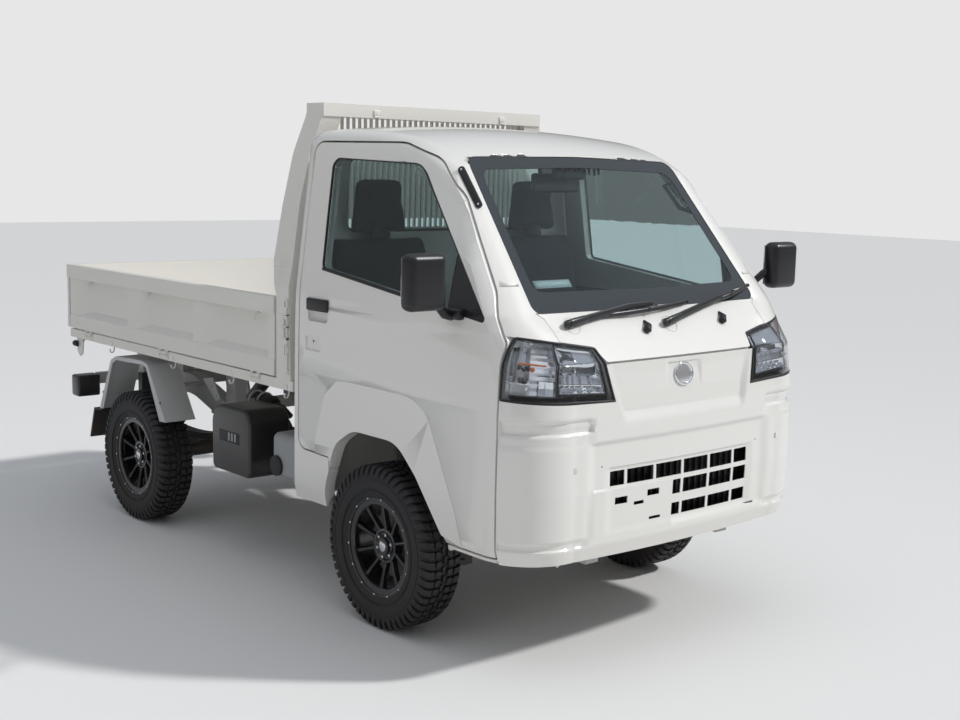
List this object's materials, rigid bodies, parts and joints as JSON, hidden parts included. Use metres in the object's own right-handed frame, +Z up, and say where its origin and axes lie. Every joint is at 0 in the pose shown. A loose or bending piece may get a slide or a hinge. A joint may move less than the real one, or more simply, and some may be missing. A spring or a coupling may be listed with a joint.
{
  "type": "kei tipper truck",
  "caption": "Small cab-over truck with two doors, a tipping drop-sided bed, a slatted cab guard and off-road tyres.",
  "frame": {"origin": "on the ground, at the middle of the length and width", "axes": "+Z up, the front faces -Y, +X is the vehicle's left"},
  "size_m": [1.97, 3.395, 1.8909],
  "materials": {
    "white_paint": "gloss",
    "bed_paint": "semi-gloss",
    "bumper_paint": "gloss",
    "chassis_paint": "satin",
    "black_steel": "satin",
    "cast_metal": "rough",
    "black_plastic": "grained",
    "grey_plastic": "satin",
    "glass": "clear",
    "lens": "clear",
    "lamp_red": "gloss",
    "tyre": "matte",
    "wheel_black": "satin",
    "flap_rubber": "matte",
    "seat_fabric": "woven",
    "trim_dark": "grained",
    "hoist_steel": "polished"
  },
  "bodies": {
    "body": {"cab_shell": "white_paint", "cab_floor": "white_paint", "hood": "white_paint", "front_fenders": "white_paint", "front_bumper": "bumper_paint", "headlamps": "lens", "windshield": "glass", "rear_window": "glass", "wipers": "black_plastic", "dashboard": "trim_dark", "seats": "seat_fabric", "chassis_rails": "chassis_paint", "cross_members": "chassis_paint", "engine": "cast_metal", "propeller_shaft": "black_steel", "front_suspension": "black_steel", "rear_axle": "black_steel", "leaf_springs": "black_steel", "rear_mudguards": "chassis_paint", "mud_flaps": "flap_rubber", "battery_box": "black_plastic", "fuel_tank": "black_steel", "air_cleaner": "grey_plastic", "rear_bar": "chassis_paint", "rear_lamps": "lamp_red", "exhaust": "black_steel"},
    "left_door": {"door_left": "white_paint", "door_glass_left": "glass", "mirror_left": "black_plastic"},
    "right_door": {"door_right": "white_paint", "door_glass_right": "glass", "mirror_right": "black_plastic"},
    "hand_wheel": {"steering_wheel": "trim_dark"},
    "hub_left": {"knuckle_left": "cast_metal"},
    "hub_right": {"knuckle_right": "cast_metal"},
    "wheel_front_left": {"tyre_front_left": "tyre", "rim_front_left": "wheel_black"},
    "wheel_front_right": {"tyre_front_right": "tyre", "rim_front_right": "wheel_black"},
    "wheel_rear_left": {"tyre_rear_left": "tyre", "rim_rear_left": "wheel_black"},
    "wheel_rear_right": {"tyre_rear_right": "tyre", "rim_rear_right": "wheel_black"},
    "bed": {"bed_deck": "bed_paint", "guard_frame": "bed_paint"},
    "gate_left": {"side_gate_left": "bed_paint"},
    "gate_right": {"side_gate_right": "bed_paint"},
    "gate_rear": {"tailgate": "bed_paint"},
    "hoist_tube": {"hoist_barrel": "black_steel"},
    "hoist_ram": {"hoist_rod": "hoist_steel"}
  },
  "joints": [
    {"name": "steer_left", "type": "hinge", "parent": "body", "child": "hub_left", "pos_m": [0.62, -0.88, 0.3], "axis": [0, 0, 1], "range_deg": [-35, 35]},
    {"name": "spin_front_left", "type": "hinge", "parent": "hub_left", "child": "wheel_front_left", "pos_m": [0.645, -0.88, 0.3], "axis": [1, 0, 0], "continuous": true},
    {"name": "spin_rear_left", "type": "hinge", "parent": "body", "child": "wheel_rear_left", "pos_m": [0.645, 1.02, 0.3], "axis": [1, 0, 0], "continuous": true},
    {"name": "door_left_swing", "type": "hinge", "parent": "body", "child": "left_door", "pos_m": [0.7255, -1.52, 1], "axis": [0, 0, -1], "range_deg": [0, 65]},
    {"name": "gate_left_drop", "type": "hinge", "parent": "bed", "child": "gate_left", "pos_m": [0.732, 0.7, 0.822], "axis": [0, 1, 0], "range_deg": [0, 175]},
    {"name": "steer_right", "type": "hinge", "parent": "body", "child": "hub_right", "pos_m": [-0.62, -0.88, 0.3], "axis": [0, 0, 1], "range_deg": [-35, 35]},
    {"name": "spin_front_right", "type": "hinge", "parent": "hub_right", "child": "wheel_front_right", "pos_m": [-0.645, -0.88, 0.3], "axis": [1, 0, 0], "continuous": true},
    {"name": "spin_rear_right", "type": "hinge", "parent": "body", "child": "wheel_rear_right", "pos_m": [-0.645, 1.02, 0.3], "axis": [1, 0, 0], "continuous": true},
    {"name": "door_right_swing", "type": "hinge", "parent": "body", "child": "right_door", "pos_m": [-0.7255, -1.52, 1], "axis": [0, 0, 1], "range_deg": [0, 65]},
    {"name": "gate_right_drop", "type": "hinge", "parent": "bed", "child": "gate_right", "pos_m": [-0.732, 0.7, 0.822], "axis": [0, -1, 0], "range_deg": [0, 175]},
    {"name": "hand_wheel_turn", "type": "hinge", "parent": "body", "child": "hand_wheel", "pos_m": [-0.4, -1.105, 1.06], "axis": [0, 0.5501, 0.8351], "range_deg": [-420, 420]},
    {"name": "bed_tip", "type": "hinge", "parent": "body", "child": "bed", "pos_m": [0, 1.6, 0.7], "axis": [-1, 0, 0], "range_deg": [0, 45]},
    {"name": "tailgate_drop", "type": "hinge", "parent": "bed", "child": "gate_rear", "pos_m": [0, 1.692, 0.822], "axis": [-1, 0, 0], "range_deg": [0, 90]},
    {"name": "hoist_swing", "type": "hinge", "parent": "body", "child": "hoist_tube", "pos_m": [0, 1.25, 0.4], "axis": [-1, 0, 0], "range_deg": [0, 42]},
    {"name": "hoist_extend", "type": "slide", "parent": "hoist_tube", "child": "hoist_ram", "axis": [0, -0.7619, 0.6476], "range_m": [0, 0.36]}
  ],
  "couplings": [
    {"joint": "steer_right", "follows": "steer_left", "ratio": 1},
    {"joint": "hand_wheel_turn", "follows": "steer_left", "ratio": 12},
    {"joint": "hoist_swing", "follows": "bed_tip", "ratio": 0.918},
    {"joint": "hoist_extend", "follows": "bed_tip", "m_per_rad": 0.449}
  ]
}
